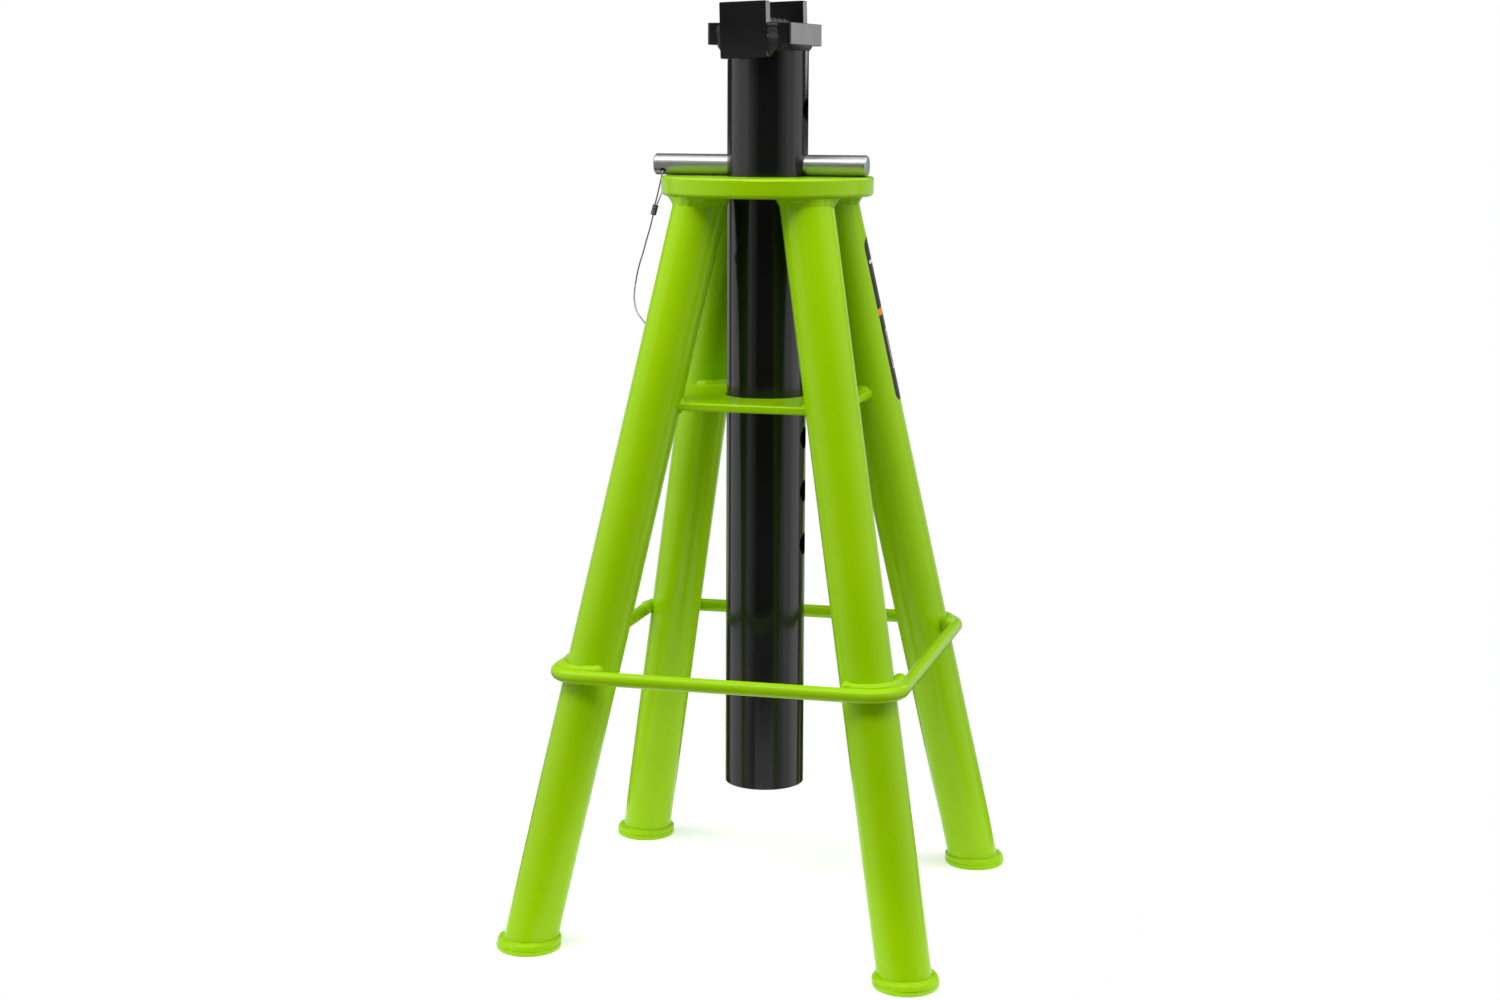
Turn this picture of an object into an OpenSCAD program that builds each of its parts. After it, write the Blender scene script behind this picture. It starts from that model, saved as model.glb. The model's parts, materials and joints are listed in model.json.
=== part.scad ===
// Axle jack stand: a four-legged welded base with a sliding pinned ram.
// Origin on the floor under the ram's axis, +X to the right, +Y to the back, +Z up.
// The legs stand on the corners of a square; the pin lies along X, the head is turned a little.

/* [Top plate] */
// Diameter of the round top plate
plate_d = 200; // [196:1:214]
// Thickness of the top plate
plate_t = 18; // [14:1:22]
// Height of the top plate's upper face
plate_top = 713; // [700:1:725]
// Diameter of the hole that guides the ram
plate_bore = 78; // [77:0.5:80]

/* [Legs and feet] */
// Outer diameter of a leg tube
leg_d = 50; // [46:1:52]
// Wall thickness of a leg tube
leg_wall = 4; // [3:0.5:6]
// Distance of a foot's centre from the two centre planes
foot_reach = 180; // [172:1:190]
// Distance of a leg's upper end from the two centre planes
head_reach = 49.5; // [48.5:0.5:51]
// Diameter of a foot disc
foot_d = 61; // [58:1:70]
// Thickness of a foot disc
foot_t = 6; // [5:0.5:8]

/* [Braces] */
// Height of the guide plate's upper face
guide_top = 507; // [480:1:530]
// Thickness of the guide plate
guide_t = 7.5; // [6:0.5:10]
// Distance of the guide plate's straight edges from the centre planes
guide_half = 90; // [84:1:94]
// Height of the brace ring's centre line
ring_z = 261; // [230:1:290]
// Diameter of the round bar of the brace ring
ring_bar = 13; // [10:0.5:14]

/* [Ram] */
// Outer diameter of the ram tube
ram_d = 76; // [74:0.5:76]
// Wall thickness of the ram tube
ram_wall = 6; // [4:0.5:8]
// Height of the ram tube's lower end
ram_bottom = 126; // [110:1:136]
// Distance between neighbouring height holes
hole_pitch = 51.4; // [49:0.2:52]
// Diameter of a height hole
hole_d = 21; // [20.5:0.5:22]

/* [Saddle] */
// Angle of the head about the vertical, against the pin
head_turn = -7.5; // [-9:0.5:9]
// Distance of the head's centre from the ram's axis, towards the tether
head_shift = 3; // [0:0.5:3]
// Side of the square block on the ram
block_side = 82.5; // [82:0.5:90]
// Thickness of the block
block_t = 20; // [16:1:24]
// Height of the block's upper face
block_top = 853.5; // [846:0.5:860]
// Width of an ear
ear_w = 46; // [40:1:54]
// Height of an ear
ear_h = 51; // [46:1:56]
// Thickness of an ear
ear_t = 10; // [8:1:12]

/* [Locking pin] */
// Diameter of the locking pin
pin_d = 20; // [18:0.5:20]
// Length of the pin on the tether's side of the ram's axis
pin_left = 110; // [109:0.5:114]
// Length of the pin on the other side
pin_right = 96.5; // [90:0.5:105]
// Diameter of the tether's hole across the pin
pin_hole_d = 5; // [4:0.5:5.5]

/* [Tether] */
// Diameter of the wire rope
wire_d = 1.5; // [1:0.1:1.6]
// Width of a crimped ferrule
ferrule_w = 5.5; // [5:0.5:6]
// Thickness of a crimped ferrule
ferrule_t = 3.5; // [3:0.1:3.6]
// Shank diameter of the screw that holds the tether
screw_d = 5; // [4:0.5:5]

/* [Label] */
// Height of the label's lower end
label_low = 490; // [470:1:510]
// Height of the label's upper end
label_high = 650; // [620:1:660]
// Angle that the label covers round its leg
label_sweep = 128; // [90:1:150]

/* [Hidden] */
$fn = 96;
eps = 0.01;
far = 400;

// Paint and metal colours
green = [0.56, 0.75, 0.06];
black = [0.10, 0.10, 0.10];
bright = [0.78, 0.78, 0.78];
grey = [0.45, 0.45, 0.43];

// Legs: a leg's direction along the diagonal of its corner
FRONT_LEFT = 225;
FRONT_RIGHT = 315;
BACK_RIGHT = 45;
BACK_LEFT = 135;
CORNERS = [FRONT_LEFT, FRONT_RIGHT, BACK_RIGHT, BACK_LEFT];
plate_low = plate_top - plate_t;
lean = (foot_reach - head_reach) / plate_low;
tilt = atan(lean * sqrt(2));
// Half of the level width of a tilted leg, along X or Y
leg_half_level = leg_d / 2 * sqrt((1 + pow(1 / cos(tilt), 2)) / 2);

// Edges and beads
plate_round_low = 4;
plate_round_high = 2;
foot_round = 2.5;
guide_round = 2;
corner_round = 3;
ear_round = 1.5;
guide_low = guide_top - guide_t;
ring_gap = 0.6;
ring_corner = 30;
ring_half = leg_at(ring_z) + leg_half_level + ring_gap + ring_bar / 2;
leg_top_weld = 8;
leg_top_weld_h = 12;
foot_weld_h = 4.5;
foot_weld_low_r = foot_d / 2 - 0.8;
guide_weld = 5;
ring_bead_r = 4.2;
ring_bead_l = 24;
ring_bead_rise = 5.5;
ring_bead_in = 4.4;
weld_air = 3;

// Ram, head and pin
rest_gap = 0.3;
pin_z = plate_top + pin_d / 2 + rest_gap;
ram_top = block_top - block_t;
holes_above = 1;
holes_below = 7;
pin_chamfer = 1.2;
pin_hole_x = -100.5;
pin_hole_tilt = 56;
ear_low = 821;
ear_middle = ear_low + ear_h / 2;
ear_shift = 1;
ear_lean = 1.7;
rear_ear_rise = 3.5;
ear_weld = 6;
ear_weld_depth = 5;
neck_weld = 5;

// Label: a thin skin on the back right leg
label_t = 0.3;

// Anchor of the tether: a screw on the front left leg, turned to face the back left leg
anchor_along = 662;
anchor_turn = 225;
eye_r = 3.6;
washer_d = 12;
washer_t = 1.2;
washer_low = leg_d / 2 + 1.9;
head_d = 9.5;
head_h = 3.4;
drive_r = 1.6;
drive_depth = 1.8;
ferrule_l = 10;
anchor_ferrule_top = -12;
anchor_ferrule_x = leg_d / 2 + 2;
pin_ferrule_low = [-109.7, -10, 675.5];
pin_ferrule_high = [-107.7, -7.5, 685.5];
pin_ferrule_turn = -36;
tube_sides = 8;

// Route of the anchor's eye, from the screw, in the anchor's own axes
anchor_loop_route = [[26.9, -0.95, -12], [26.4, -1.8, -8], [26.1, -3, -4], [26, -3.6, 0],
    [26, -2.5, 2.6], [26, 0, 3.6], [26, 2.5, 2.6], [26, 3.6, 0], [26.1, 3, -4],
    [26.4, 1.8, -8], [26.9, 0.95, -12]];
// Route of the loop through the pin's hole, from the ferrule and back to it
pin_loop_route = [[-108.6, -7.7, 685.5], [-106.2, -7.4, 694.5], [-103.9, -7.6, 703.4],
    [-101.9, -8.4, 711], [-100.7, -8.9, 715.6], [-100.5, -4.6, 720.2], [-100.5, 0, 723.3],
    [-100.5, 4.6, 726.4], [-100.2, 9.2, 729.6], [-100, 12.3, 727.8], [-100.2, 12.8, 721.3],
    [-101.3, 10.6, 713.6], [-102.9, 5.6, 704.2], [-104.8, -1.4, 693.8], [-106.8, -7.3, 685.5]];
// Route of the wire from the pin's ferrule down to its middle
upper_route = [[-109.7, -10, 675.5], [-112.3, -11.8, 663.3], [-115.5, -13.5, 651.3],
    [-118.2, -14.9, 640.2], [-121.3, -16.8, 629.1], [-123.5, -18.6, 618], [-124.5, -20.4, 609.2]];
// Route of the wire from its middle round behind the leg and up to the anchor's ferrule
lower_route = [[-124.5, -20.6, 608.7], [-124.5, -23.5, 601], [-123, -27, 592.5],
    [-119.5, -30.5, 584.5], [-113, -34, 577.5], [-104, -36, 569.5], [-94, -37, 563],
    [-84, -37.5, 560.5], [-75.5, -38, 564], [-70.5, -38.5, 573], [-68, -39, 585],
    [-66.5, -38.8, 599], [-64.3, -37.2, 613.8]];

// Distance of a leg's axis from the centre planes at a height
function leg_at(z) = foot_reach - lean * z;
// Distance along a leg's axis from the floor to a height
function along(z) = z / cos(tilt);

// Smooth curve through a route's points, in steps between neighbours
function curve_at(a, b, c, d, t) = 0.5 * (2 * b + (c - a) * t
    + (2 * a - 5 * b + 4 * c - d) * t * t + (3 * b - a - 3 * c + d) * t * t * t);
function smooth(route, steps) = let (last = len(route) - 1) concat(
    [for (i = [0 : last - 1], j = [0 : steps - 1])
        curve_at(route[max(i - 1, 0)], route[i], route[i + 1], route[min(i + 2, last)],
            j / steps)],
    [route[last]]);
function unit(v) = v / norm(v);
function heading(line, i) = unit(line[min(i + 1, len(line) - 1)] - line[max(i - 1, 0)]);

// Round tube along a line; across is a direction that the line never takes
module tube_along(line, diameter, across) {
    rings = [for (i = [0 : len(line) - 1])
        let (t = heading(line, i), u = unit(cross(across, t)), v = cross(t, u))
        for (k = [0 : tube_sides - 1])
            let (a = 360 * k / tube_sides)
            line[i] + diameter / 2 * (cos(a) * u + sin(a) * v)];
    sides = [for (i = [0 : len(line) - 2], k = [0 : tube_sides - 1])
        let (k2 = (k + 1) % tube_sides, low = i * tube_sides, high = low + tube_sides)
        [low + k, high + k, high + k2, low + k2]];
    first = [for (k = [0 : tube_sides - 1]) k];
    last = [for (k = [tube_sides - 1 : -1 : 0]) (len(line) - 1) * tube_sides + k];
    polyhedron(points = rings, faces = concat([first, last], sides), convexity = 4);
}

// Places a child in a leg's own axes: Z up along the leg, X outward
module at_leg(corner) {
    rotate([0, 0, corner]) translate([foot_reach * sqrt(2), 0, 0])
        rotate([0, -tilt, 0]) children();
}

// Places a child in the axes of the tether's anchor: X out of the leg at the screw
module at_anchor() {
    at_leg(FRONT_LEFT) translate([0, 0, anchor_along]) rotate([0, 0, anchor_turn])
        children();
}

// Places a child above a leg's axis at a height, without tilting it
module over_leg(corner, z) {
    rotate([0, 0, corner]) translate([leg_at(z) * sqrt(2), 0, z]) children();
}

// Solid rod on a leg's axis, for cutting a neighbour to the leg's surface
module leg_rod(corner) {
    at_leg(corner) translate([0, 0, -40]) cylinder(d = leg_d, h = 800);
}

// Round disc with rims of their own rounding below and above
module rounded_disc(diameter, thickness, low, high) {
    rotate_extrude() {
        square([diameter / 2 - max(low, high), thickness]);
        translate([0, low]) square([diameter / 2, thickness - low - high]);
        square([diameter / 2 - low, thickness / 2]);
        translate([0, thickness / 2]) square([diameter / 2 - high, thickness / 2]);
        translate([diameter / 2 - low, low]) circle(low, $fn = 32);
        translate([diameter / 2 - high, thickness - high]) circle(high, $fn = 32);
    }
}

// Rectangle on its centre with rounded corners
module rounded_rect(w, h, r) {
    square([w - 2 * r, h], center = true);
    square([w, h - 2 * r], center = true);
    for (x = [-1, 1], y = [-1, 1])
        translate([x * (w / 2 - r), y * (h / 2 - r)]) circle(r, $fn = 32);
}

// Places a child in the head's own axes, on the middle of its block
module at_head() {
    rotate([0, 0, head_turn]) translate([-head_shift, 0, 0]) children();
}

module top_plate() {
    color(green) difference() {
        translate([0, 0, plate_low]) rounded_disc(plate_d, plate_t, plate_round_low, plate_round_high);
        translate([0, 0, plate_low - 1]) cylinder(d = plate_bore, h = plate_t + 2);
    }
}

module leg(corner) {
    color(green) difference() {
        leg_rod(corner);
        at_leg(corner) translate([0, 0, -50]) cylinder(d = leg_d - 2 * leg_wall, h = 820);
        translate([-far, -far, plate_low]) cube([2 * far, 2 * far, 200]);
        translate([-far, -far, foot_t - 200]) cube([2 * far, 2 * far, 200]);
        if (corner == FRONT_LEFT)
            at_anchor() rotate([0, 90, 0]) cylinder(d = screw_d, h = leg_d);
    }
}

module leg_front_left() { leg(FRONT_LEFT); }
module leg_front_right() { leg(FRONT_RIGHT); }
module leg_back_right() { leg(BACK_RIGHT); }
module leg_back_left() { leg(BACK_LEFT); }

module foot(corner) {
    color(green) rotate([0, 0, corner]) translate([foot_reach * sqrt(2), 0, 0])
        rounded_disc(foot_d, foot_t, foot_round, foot_round);
}

module foot_front_left() { foot(FRONT_LEFT); }
module foot_front_right() { foot(FRONT_RIGHT); }
module foot_back_right() { foot(BACK_RIGHT); }
module foot_back_left() { foot(BACK_LEFT); }

// Bar along X with the guide plate's rounded section
module guide_slab() {
    rotate([90, 0, 90]) linear_extrude(2 * guide_half, center = true)
        rounded_rect(2 * guide_half, guide_t, guide_round);
}

module guide_plate() {
    color(green) difference() {
        translate([0, 0, guide_low + guide_t / 2]) intersection() {
            guide_slab();
            rotate([0, 0, 90]) guide_slab();
        }
        translate([0, 0, guide_low - 1]) cylinder(d = plate_bore, h = guide_t + 2);
        for (corner = CORNERS) leg_rod(corner);
    }
}

// One quarter of the brace ring: a bend and the straight bar after it
module ring_quarter() {
    straight = ring_half - ring_corner;
    translate([straight, straight, 0]) rotate_extrude(angle = 90)
        translate([ring_corner, 0]) circle(d = ring_bar, $fn = 48);
    translate([straight, ring_half, 0]) rotate([0, -90, 0])
        cylinder(d = ring_bar, h = 2 * straight, $fn = 48);
}

module ring_bar_loop() {
    translate([0, 0, ring_z]) for (turn = [0 : 90 : 270])
        rotate([0, 0, turn]) ring_quarter();
}

module lower_ring() {
    color(green) ring_bar_loop();
}

// Flared collars where the legs meet the top plate, kept clear of the ram
module leg_top_welds() {
    flare = 2 * leg_top_weld;
    color(green) difference() {
        intersection() {
            for (corner = CORNERS)
                at_leg(corner) translate([0, 0, along(plate_low) - leg_top_weld_h])
                    cylinder(r1 = leg_d / 2, r2 = leg_d / 2 + flare, h = 2 * leg_top_weld_h);
            translate([0, 0, plate_low - far]) cylinder(d = plate_d - 2, h = far);
        }
        for (corner = CORNERS) leg_rod(corner);
        translate([0, 0, plate_low - 50])
            cylinder(d = plate_bore + 2 * weld_air, h = 60);
    }
}

module foot_welds() {
    color(green) difference() {
        for (corner = CORNERS)
            rotate([0, 0, corner]) translate([foot_reach * sqrt(2), 0, foot_t])
                cylinder(r1 = foot_weld_low_r, r2 = leg_d / 2 + 1, h = foot_weld_h);
        for (corner = CORNERS) leg_rod(corner);
    }
}

module guide_plate_welds() {
    half = guide_half - guide_round;
    wide = leg_half_level + guide_weld;
    color(green) difference() {
        intersection() {
            for (corner = CORNERS) {
                over_leg(corner, guide_top)
                    cylinder(r1 = wide, r2 = leg_half_level, h = guide_weld);
                over_leg(corner, guide_low) mirror([0, 0, 1])
                    cylinder(r1 = wide, r2 = leg_half_level, h = guide_weld);
            }
            translate([-half, -half, 0]) cube([2 * half, 2 * half, far * 2]);
        }
        for (corner = CORNERS) leg_rod(corner);
    }
}

// Round-ended bead lying along Y
module bead(r, l) {
    rotate([90, 0, 0]) cylinder(r = r, h = l, center = true, $fn = 32);
    for (end = [-1, 1]) translate([0, end * l / 2, 0]) sphere(r, $fn = 32);
}

// Two beads a leg, on top of the brace ring where its bars pass the leg
module ring_welds() {
    color(green) difference() {
        for (corner = CORNERS) rotate([0, 0, corner - 45])
            for (side = [0, 1]) mirror([side, -side, 0])
                translate([ring_half - ring_bead_in, leg_at(ring_z) - 2,
                        ring_z + ring_bead_rise])
                    bead(ring_bead_r, ring_bead_l);
        for (corner = CORNERS) leg_rod(corner);
        ring_bar_loop();
    }
}

module label() {
    color([0.06, 0.06, 0.06]) at_leg(BACK_RIGHT) translate([0, 0, along(label_low)])
        rotate([0, 0, -label_sweep / 2]) rotate_extrude(angle = label_sweep)
            translate([leg_d / 2, 0]) square([label_t, along(label_high - label_low)]);
}

module tether_screw() {
    high = washer_low + washer_t;
    shank_start = leg_d / 2 - leg_wall - 2;
    color(bright) at_anchor() rotate([0, 90, 0]) difference() {
        union() {
            translate([0, 0, shank_start])
                cylinder(d = screw_d, h = high - shank_start + eps);
            translate([0, 0, high]) cylinder(d = head_d, h = head_h * 0.6);
            translate([0, 0, high + head_h * 0.6])
                cylinder(d1 = head_d, d2 = head_d * 0.6, h = head_h * 0.4);
        }
        translate([0, 0, high + head_h - drive_depth])
            cylinder(r = drive_r, h = head_h, $fn = 6);
    }
}

module tether_washer() {
    color(bright) at_anchor() translate([washer_low, 0, 0]) rotate([0, 90, 0])
        difference() {
            cylinder(d = washer_d, h = washer_t);
            translate([0, 0, -1]) cylinder(d = screw_d, h = washer_t + 2);
        }
}

// Oval crimp sleeve on the Z axis, wide along X
module ferrule() {
    side = (ferrule_w - ferrule_t) / 2;
    for (x = [-side, side]) translate([x, 0, 0])
        cylinder(d = ferrule_t, h = ferrule_l, $fn = 32);
    translate([-side, -ferrule_t / 2, 0]) cube([2 * side, ferrule_t, ferrule_l]);
}

module tether_anchor_ferrule() {
    color(grey) at_anchor()
        translate([anchor_ferrule_x, 0, anchor_ferrule_top - ferrule_l])
            rotate([0, 0, 90]) ferrule();
}

module tether_anchor_loop() {
    color(grey) at_anchor() tube_along(anchor_loop_route, wire_d, [1, 0, 0]);
}

module tether_wire_lower() {
    color(grey) tube_along(smooth(lower_route, 3), wire_d, [0.4, -1, 0]);
}

module ram_tube() {
    color(black) difference() {
        translate([0, 0, ram_bottom]) cylinder(d = ram_d, h = ram_top - ram_bottom);
        translate([0, 0, ram_bottom - 1])
            cylinder(d = ram_d - 2 * ram_wall, h = ram_top - ram_bottom + 2);
        for (i = [-holes_below : holes_above])
            translate([0, 0, pin_z + i * hole_pitch]) rotate([0, 90, 0])
                cylinder(d = hole_d, h = ram_d + 2, center = true);
    }
}

module block_outline() {
    rounded_rect(block_side, block_side, corner_round);
}

module saddle_block() {
    color(black) at_head() translate([0, 0, ram_top]) linear_extrude(block_t)
        block_outline();
}

// Places a child on the middle of the front ear's inner face, or on the rear ear's
module at_ear(rear) {
    at_head() translate([-ear_shift, 0, rear * rear_ear_rise]) mirror([0, rear, 0])
        translate([0, -block_side / 2, ear_middle]) rotate([90, 0, 0])
            rotate([0, 0, ear_lean]) children();
}

// Upright plate welded to the block's face
module ear(rear) {
    color(black) at_ear(rear) linear_extrude(ear_t) rounded_rect(ear_w, ear_h, ear_round);
}

module front_ear() { ear(0); }
module rear_ear() { ear(1); }

// Side fillets of one ear, tapering below the block
module ear_welds(rear) {
    low = ram_top - ear_middle - rear * rear_ear_rise;
    high = low + block_t - 1;
    at_ear(rear) for (side = [0, 1]) mirror([side, 0, 0]) translate([ear_w / 2, 0, 0])
        linear_extrude(ear_weld_depth)
            polygon([[0, ear_round - ear_h / 2], [ear_weld, low], [ear_weld, high], [0, high]]);
}

module saddle_welds() {
    color(black) for (rear = [0, 1]) ear_welds(rear);
    color(black) difference() {
        intersection() {
            translate([0, 0, ram_top - neck_weld])
                cylinder(r1 = ram_d / 2, r2 = ram_d / 2 + neck_weld, h = neck_weld);
            at_head() linear_extrude(ram_top) block_outline();
        }
        cylinder(d = ram_d, h = ram_top + 1);
    }
}

module locking_pin() {
    length = pin_left + pin_right;
    color(bright) difference() {
        translate([-pin_left, 0, pin_z]) rotate([0, 90, 0]) {
            cylinder(d1 = pin_d - 2 * pin_chamfer, d2 = pin_d, h = pin_chamfer);
            translate([0, 0, pin_chamfer])
                cylinder(d = pin_d, h = length - 2 * pin_chamfer);
            translate([0, 0, length - pin_chamfer])
                cylinder(d1 = pin_d, d2 = pin_d - 2 * pin_chamfer, h = pin_chamfer);
        }
        translate([pin_hole_x, 0, pin_z]) rotate([-pin_hole_tilt, 0, 0])
            cylinder(d = pin_hole_d, h = 2 * pin_d, center = true);
    }
}

module tether_pin_loop() {
    color(grey) tube_along(pin_loop_route, wire_d, [1, 0, 0]);
}

module tether_pin_ferrule() {
    way = pin_ferrule_high - pin_ferrule_low;
    color(grey) translate(pin_ferrule_low)
        rotate([0, acos(way[2] / norm(way)), atan2(way[1], way[0])])
            rotate([0, 0, pin_ferrule_turn]) ferrule();
}

module tether_wire_upper() {
    color(grey) tube_along(smooth(upper_route, 2), wire_d, [0.4, -1, 0]);
}

top_plate();
leg_front_left();
leg_front_right();
leg_back_right();
leg_back_left();
foot_front_left();
foot_front_right();
foot_back_right();
foot_back_left();
guide_plate();
lower_ring();
leg_top_welds();
foot_welds();
guide_plate_welds();
ring_welds();
label();
tether_screw();
tether_washer();
tether_anchor_ferrule();
tether_anchor_loop();
tether_wire_lower();
ram_tube();
saddle_block();
front_ear();
rear_ear();
saddle_welds();
locking_pin();
tether_pin_loop();
tether_pin_ferrule();
tether_wire_upper();
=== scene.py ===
"""Axle jack stand: camera, light, paint, welds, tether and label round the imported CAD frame."""

import json
import math

import bmesh
import bpy
from mathutils import Matrix, Vector
from mathutils import noise


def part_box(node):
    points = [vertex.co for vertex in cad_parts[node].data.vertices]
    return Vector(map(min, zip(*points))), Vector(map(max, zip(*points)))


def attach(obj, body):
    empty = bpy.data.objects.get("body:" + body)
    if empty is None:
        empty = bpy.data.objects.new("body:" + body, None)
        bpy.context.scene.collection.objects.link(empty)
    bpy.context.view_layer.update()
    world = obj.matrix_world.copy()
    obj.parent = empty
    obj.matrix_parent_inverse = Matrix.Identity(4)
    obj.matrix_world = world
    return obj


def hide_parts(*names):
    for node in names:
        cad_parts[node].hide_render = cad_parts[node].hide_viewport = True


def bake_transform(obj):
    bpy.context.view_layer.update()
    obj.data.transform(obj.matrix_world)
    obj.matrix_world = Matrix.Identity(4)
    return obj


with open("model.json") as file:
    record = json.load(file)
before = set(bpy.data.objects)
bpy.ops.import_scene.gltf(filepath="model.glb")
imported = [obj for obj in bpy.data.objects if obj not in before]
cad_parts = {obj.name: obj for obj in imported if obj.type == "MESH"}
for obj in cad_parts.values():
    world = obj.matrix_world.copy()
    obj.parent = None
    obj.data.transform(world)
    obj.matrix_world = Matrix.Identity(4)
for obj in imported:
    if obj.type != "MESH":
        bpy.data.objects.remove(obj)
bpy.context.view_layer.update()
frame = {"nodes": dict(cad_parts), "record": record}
MM = 0.001

# ---------------------------------------------------------------- sizes, from the frame
PLATE_LOW, PLATE_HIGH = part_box("top_plate")
FOOT_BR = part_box("foot_back_right")
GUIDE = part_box("guide_plate")
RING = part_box("lower_ring")
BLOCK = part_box("saddle_block")
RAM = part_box("ram_tube")

PLATE_R = (PLATE_HIGH.x - PLATE_LOW.x) / 2
PLATE_UNDER = PLATE_LOW.z
FOOT_R = (FOOT_BR[1].x - FOOT_BR[0].x) / 2
FOOT_REACH = (FOOT_BR[1].x + FOOT_BR[0].x) / 2
FOOT_TOP = FOOT_BR[1].z
GUIDE_TOP = GUIDE[1].z
GUIDE_UNDER = GUIDE[0].z
GUIDE_HALF = GUIDE[1].x
RING_Z = (RING[0].z + RING[1].z) / 2
RING_BAR = RING[1].z - RING[0].z
RING_HALF = RING[1].x - RING_BAR / 2
BLOCK_TOP = BLOCK[1].z
BLOCK_UNDER = BLOCK[0].z
RAM_R = (RAM[1].x - RAM[0].x) / 2

# Sizes of the design that no box gives
LEG_R = 25 * MM
HEAD_REACH = 49.5 * MM
HEAD_TURN = math.radians(-7.5)
HEAD_SHIFT = 3 * MM
BLOCK_HALF = 41.25 * MM
EAR_HALF = 23 * MM
EAR_H = 51 * MM
EAR_MIDDLE = 846.5 * MM
EAR_SHIFT = 1 * MM
EAR_LEAN = math.radians(1.7)
REAR_EAR_RISE = 3.5 * MM
LABEL_LOW = 490 * MM
LABEL_HIGH = 650 * MM
LABEL_SWEEP = math.radians(128)
LABEL_T = 0.3 * MM
ANCHOR_ALONG = 662 * MM
ANCHOR_TURN = math.radians(225)
WIRE_D = 1.5 * MM

CORNERS = {"front_left": 225, "front_right": 315, "back_right": 45, "back_left": 135}
LEAN = (FOOT_REACH - HEAD_REACH) / PLATE_UNDER
TILT = math.atan(LEAN * math.sqrt(2))


def leg_axes(corner):
    """Matrix from a leg's own axes, Z up along the leg and X outward, to the frame."""
    return (
        Matrix.Rotation(math.radians(corner), 4, "Z")
        @ Matrix.Translation((FOOT_REACH * math.sqrt(2), 0, 0))
        @ Matrix.Rotation(-TILT, 4, "Y")
    )


ANCHOR = (
    leg_axes(CORNERS["front_left"])
    @ Matrix.Translation((0, 0, ANCHOR_ALONG))
    @ Matrix.Rotation(ANCHOR_TURN, 4, "Z")
)
HEAD = Matrix.Rotation(HEAD_TURN, 4, "Z") @ Matrix.Translation((-HEAD_SHIFT, 0, 0))


def ear_axes(rear):
    """Matrix from an ear's own axes, Z out of its block face and Y up, to the frame."""
    mirrored = Matrix.Scale(-1, 4, (0, 1, 0)) if rear else Matrix.Identity(4)
    return (
        HEAD
        @ Matrix.Translation((-EAR_SHIFT, 0, REAR_EAR_RISE * rear))
        @ mirrored
        @ Matrix.Translation((0, -BLOCK_HALF, EAR_MIDDLE))
        @ Matrix.Rotation(math.pi / 2, 4, "X")
        @ Matrix.Rotation(EAR_LEAN, 4, "Z")
    )


# ---------------------------------------------------------------- camera
CAMERA_TURN = math.radians(14.83)
CAMERA_BACK = 2.2013
CAMERA_HEIGHT = 0.7787
CAMERA_PAN = math.radians(-0.395)
CAMERA_PITCH = math.radians(9.663)
CAMERA_ROLL = math.radians(-0.248)
LENS_MM = 55.65


def make_camera():
    """The camera stands to the right of the front, a little below the head, looking down."""
    cp = math.cos(CAMERA_PITCH)
    ahead = Vector((math.sin(CAMERA_PAN) * cp, math.cos(CAMERA_PAN) * cp, -math.sin(CAMERA_PITCH)))
    level = Vector((math.cos(CAMERA_PAN), -math.sin(CAMERA_PAN), 0))
    down = ahead.cross(level)
    right = math.cos(CAMERA_ROLL) * level + math.sin(CAMERA_ROLL) * down
    below = -math.sin(CAMERA_ROLL) * level + math.cos(CAMERA_ROLL) * down
    axes = Matrix((right, -below, -ahead)).transposed().to_4x4()
    data = bpy.data.cameras.new("camera")
    data.sensor_width = 36
    data.sensor_fit = "HORIZONTAL"
    data.lens = LENS_MM
    camera = bpy.data.objects.new("camera", data)
    place = Matrix.Translation((0, -CAMERA_BACK, CAMERA_HEIGHT)) @ axes
    camera.matrix_world = Matrix.Rotation(CAMERA_TURN, 4, "Z") @ place
    bpy.context.scene.collection.objects.link(camera)
    bpy.context.scene.camera = camera


make_camera()

# ---------------------------------------------------------------- materials
# Most of a noise texture's values lie between these two
NOISE_LOW = 0.3
NOISE_HIGH = 0.7
WELD_DULL = 0.33


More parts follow.
